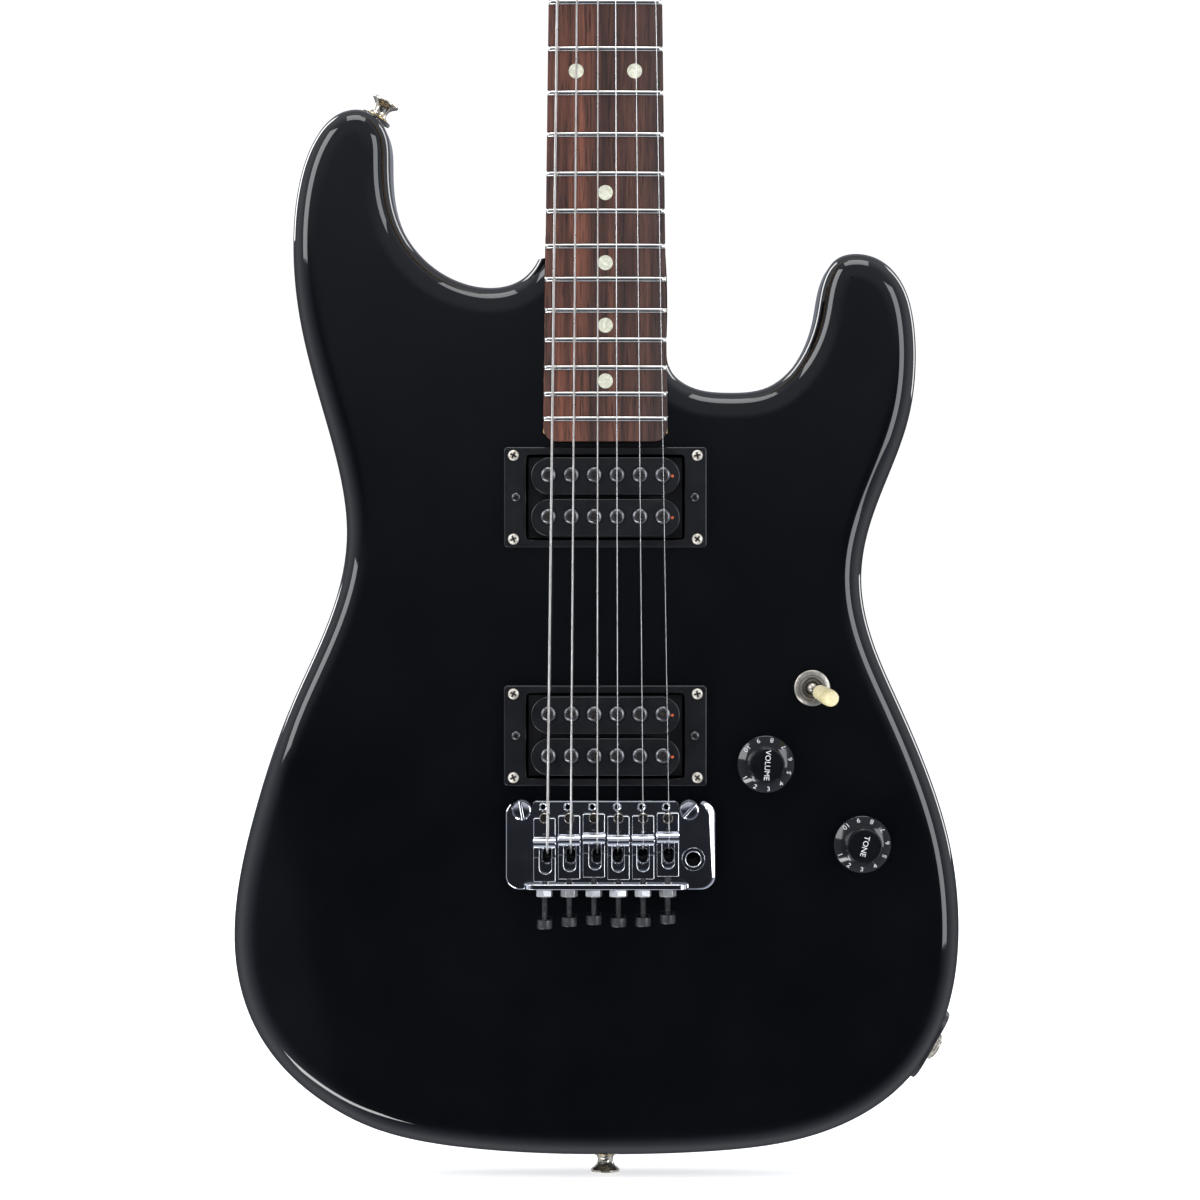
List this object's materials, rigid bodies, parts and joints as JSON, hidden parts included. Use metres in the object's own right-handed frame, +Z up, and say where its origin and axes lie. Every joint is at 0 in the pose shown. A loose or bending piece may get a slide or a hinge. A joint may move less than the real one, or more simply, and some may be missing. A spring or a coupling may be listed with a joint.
{
  "type": "electric guitar",
  "caption": "Black double-cutaway solid-body electric guitar with humbucking pickups in rings, a two-point vibrato bridge and a bolt-on maple neck with in-line tuners.",
  "frame": {"origin": "centre of the outer flat face of the end strap button, the guitar's lowest point when it stands upright", "axes": "+X to the treble side, +Y out of the back (the front faces -Y), +Z up the neck towards the headstock"},
  "size_m": [0.3205, 0.0708, 0.984],
  "materials": {
    "lacquered_body": "gloss black lacquer over solid wood",
    "maple": "satin maple",
    "rosewood": "open-grained rosewood, nickel-silver frets",
    "bone": "aged cream plastic",
    "chrome": "polished chrome plate",
    "nickel": "aged nickel plate",
    "steel": "plain machined steel",
    "black_plastic": "semi-gloss black plastic",
    "black_metal": "black plated metal"
  },
  "bodies": {
    "guitar": {"body": "lacquered_body", "neck": "maple", "fretboard": "rosewood", "nut": "bone", "truss_rod": "steel", "neck_plate": "chrome", "pickup_ring_neck": "black_plastic", "pickup_ring_bridge": "black_plastic", "spring_claw": "steel", "spring_cover": "black_plastic", "control_cover": "black_plastic", "pivot_stud_bass": "chrome", "pivot_stud_treble": "chrome", "vibrato_spring_1": "nickel", "vibrato_spring_2": "nickel", "vibrato_spring_3": "nickel", "string_1": "nickel", "string_2": "nickel", "string_3": "nickel", "string_4": "nickel", "string_5": "nickel", "string_6": "nickel", "tuner_housings": "chrome", "volume_pot": "nickel", "tone_pot": "nickel", "switch_body": "nickel", "jack_plate": "black_metal", "output_jack": "nickel", "strap_button_end": "nickel", "strap_button_horn": "nickel"},
    "vibrato": {"bridge_plate": "chrome", "inertia_block": "steel", "arm_socket": "steel"},
    "neck_pickup": {"pickup_neck_base": "nickel", "pickup_neck_bobbin_a": "black_plastic", "pickup_neck_bobbin_b": "black_plastic"},
    "bridge_pickup": {"pickup_bridge_base": "nickel", "pickup_bridge_bobbin_a": "black_plastic", "pickup_bridge_bobbin_b": "black_plastic"},
    "volume_control": {"volume_knob": "black_plastic"},
    "tone_control": {"tone_knob": "black_plastic"},
    "switch": {"switch_lever": "bone"},
    "saddle_1": {"saddle_1": "chrome"},
    "saddle_2": {"saddle_2": "chrome"},
    "saddle_3": {"saddle_3": "chrome"},
    "saddle_4": {"saddle_4": "chrome"},
    "saddle_5": {"saddle_5": "chrome"},
    "saddle_6": {"saddle_6": "chrome"},
    "tuner_1": {"tuner_button_1": "chrome"},
    "post_1": {"tuner_post_1": "chrome"},
    "tuner_2": {"tuner_button_2": "chrome"},
    "post_2": {"tuner_post_2": "chrome"},
    "tuner_3": {"tuner_button_3": "chrome"},
    "post_3": {"tuner_post_3": "chrome"},
    "tuner_4": {"tuner_button_4": "chrome"},
    "post_4": {"tuner_post_4": "chrome"},
    "tuner_5": {"tuner_button_5": "chrome"},
    "post_5": {"tuner_post_5": "chrome"},
    "tuner_6": {"tuner_button_6": "chrome"},
    "post_6": {"tuner_post_6": "chrome"}
  },
  "joints": [
    {"name": "vibrato_tilt", "type": "hinge", "parent": "guitar", "child": "vibrato", "pos_m": [0, -0.02645, 0.1586], "axis": [1, 0, 0], "range_deg": [-10, 4], "stiffness_Nm_per_rad": 15, "deforming": ["vibrato_spring_1", "vibrato_spring_2", "vibrato_spring_3", "string_1", "string_2", "string_3", "string_4", "string_5", "string_6"]},
    {"name": "saddle_1_intonation", "type": "slide", "parent": "vibrato", "child": "saddle_1", "axis": [0, 0, 1], "range_m": [-0.0007, 0.004]},
    {"name": "saddle_2_intonation", "type": "slide", "parent": "vibrato", "child": "saddle_2", "axis": [0, 0, 1], "range_m": [-0.0018, 0.004]},
    {"name": "saddle_3_intonation", "type": "slide", "parent": "vibrato", "child": "saddle_3", "axis": [0, 0, 1], "range_m": [-0.0025, 0.004]},
    {"name": "saddle_4_intonation", "type": "slide", "parent": "vibrato", "child": "saddle_4", "axis": [0, 0, 1], "range_m": [-0.0016, 0.004]},
    {"name": "saddle_5_intonation", "type": "slide", "parent": "vibrato", "child": "saddle_5", "axis": [0, 0, 1], "range_m": [-0.0018, 0.004]},
    {"name": "saddle_6_intonation", "type": "slide", "parent": "vibrato", "child": "saddle_6", "axis": [0, 0, 1], "range_m": [-0.0025, 0.004]},
    {"name": "neck_pickup_height", "type": "slide", "parent": "guitar", "child": "neck_pickup", "axis": [0, -1, 0], "range_m": [-0.002, 0.002]},
    {"name": "bridge_pickup_height", "type": "slide", "parent": "guitar", "child": "bridge_pickup", "axis": [0, -1, 0], "range_m": [-0.002, 0.002]},
    {"name": "volume_turn", "type": "hinge", "parent": "guitar", "child": "volume_control", "pos_m": [0.0702, -0.02225, 0.1818], "axis": [0, -1, 0], "range_deg": [-150, 150]},
    {"name": "tone_turn", "type": "hinge", "parent": "guitar", "child": "tone_control", "pos_m": [0.1125, -0.02225, 0.1467], "axis": [0, -1, 0], "range_deg": [-150, 150]},
    {"name": "switch_throw", "type": "hinge", "parent": "guitar", "child": "switch", "pos_m": [0.0906, -0.02405, 0.2151], "axis": [-0.515, 0, -0.8572], "range_deg": [0, 50]},
    {"name": "tuner_1_turn", "type": "hinge", "parent": "guitar", "child": "tuner_1", "pos_m": [-0.0297, -0.0032, 0.8312], "axis": [-0.9643, 0, 0.2647], "continuous": true},
    {"name": "tuner_2_turn", "type": "hinge", "parent": "guitar", "child": "tuner_2", "pos_m": [-0.0225, -0.0032, 0.8567], "axis": [-0.9643, 0, 0.2647], "continuous": true},
    {"name": "tuner_3_turn", "type": "hinge", "parent": "guitar", "child": "tuner_3", "pos_m": [-0.0152, -0.0032, 0.8822], "axis": [-0.9643, 0, 0.2647], "continuous": true},
    {"name": "tuner_4_turn", "type": "hinge", "parent": "guitar", "child": "tuner_4", "pos_m": [-0.0083, -0.0032, 0.9077], "axis": [-0.9643, 0, 0.2647], "continuous": true},
    {"name": "tuner_5_turn", "type": "hinge", "parent": "guitar", "child": "tuner_5", "pos_m": [-0.0015, -0.0032, 0.9332], "axis": [-0.9643, 0, 0.2647], "continuous": true},
    {"name": "tuner_6_turn", "type": "hinge", "parent": "guitar", "child": "tuner_6", "pos_m": [0.0053, -0.0032, 0.9587], "axis": [-0.9643, 0, 0.2647], "continuous": true},
    {"name": "post_1_turn", "type": "hinge", "parent": "guitar", "child": "post_1", "pos_m": [-0.0217, -0.023, 0.829], "axis": [0, -1, 0], "continuous": true},
    {"name": "post_2_turn", "type": "hinge", "parent": "guitar", "child": "post_2", "pos_m": [-0.0145, -0.023, 0.8545], "axis": [0, -1, 0], "continuous": true},
    {"name": "post_3_turn", "type": "hinge", "parent": "guitar", "child": "post_3", "pos_m": [-0.0072, -0.023, 0.88], "axis": [0, -1, 0], "continuous": true},
    {"name": "post_4_turn", "type": "hinge", "parent": "guitar", "child": "post_4", "pos_m": [-0.0003, -0.023, 0.9055], "axis": [0, -1, 0], "continuous": true},
    {"name": "post_5_turn", "type": "hinge", "parent": "guitar", "child": "post_5", "pos_m": [0.0065, -0.023, 0.931], "axis": [0, -1, 0], "continuous": true},
    {"name": "post_6_turn", "type": "hinge", "parent": "guitar", "child": "post_6", "pos_m": [0.0133, -0.023, 0.9565], "axis": [0, -1, 0], "continuous": true}
  ],
  "couplings": [
    {"joint": "post_1_turn", "follows": "tuner_1_turn", "ratio": 0.066667},
    {"joint": "post_2_turn", "follows": "tuner_2_turn", "ratio": 0.066667},
    {"joint": "post_3_turn", "follows": "tuner_3_turn", "ratio": 0.066667},
    {"joint": "post_4_turn", "follows": "tuner_4_turn", "ratio": 0.066667},
    {"joint": "post_5_turn", "follows": "tuner_5_turn", "ratio": 0.066667},
    {"joint": "post_6_turn", "follows": "tuner_6_turn", "ratio": 0.066667}
  ]
}
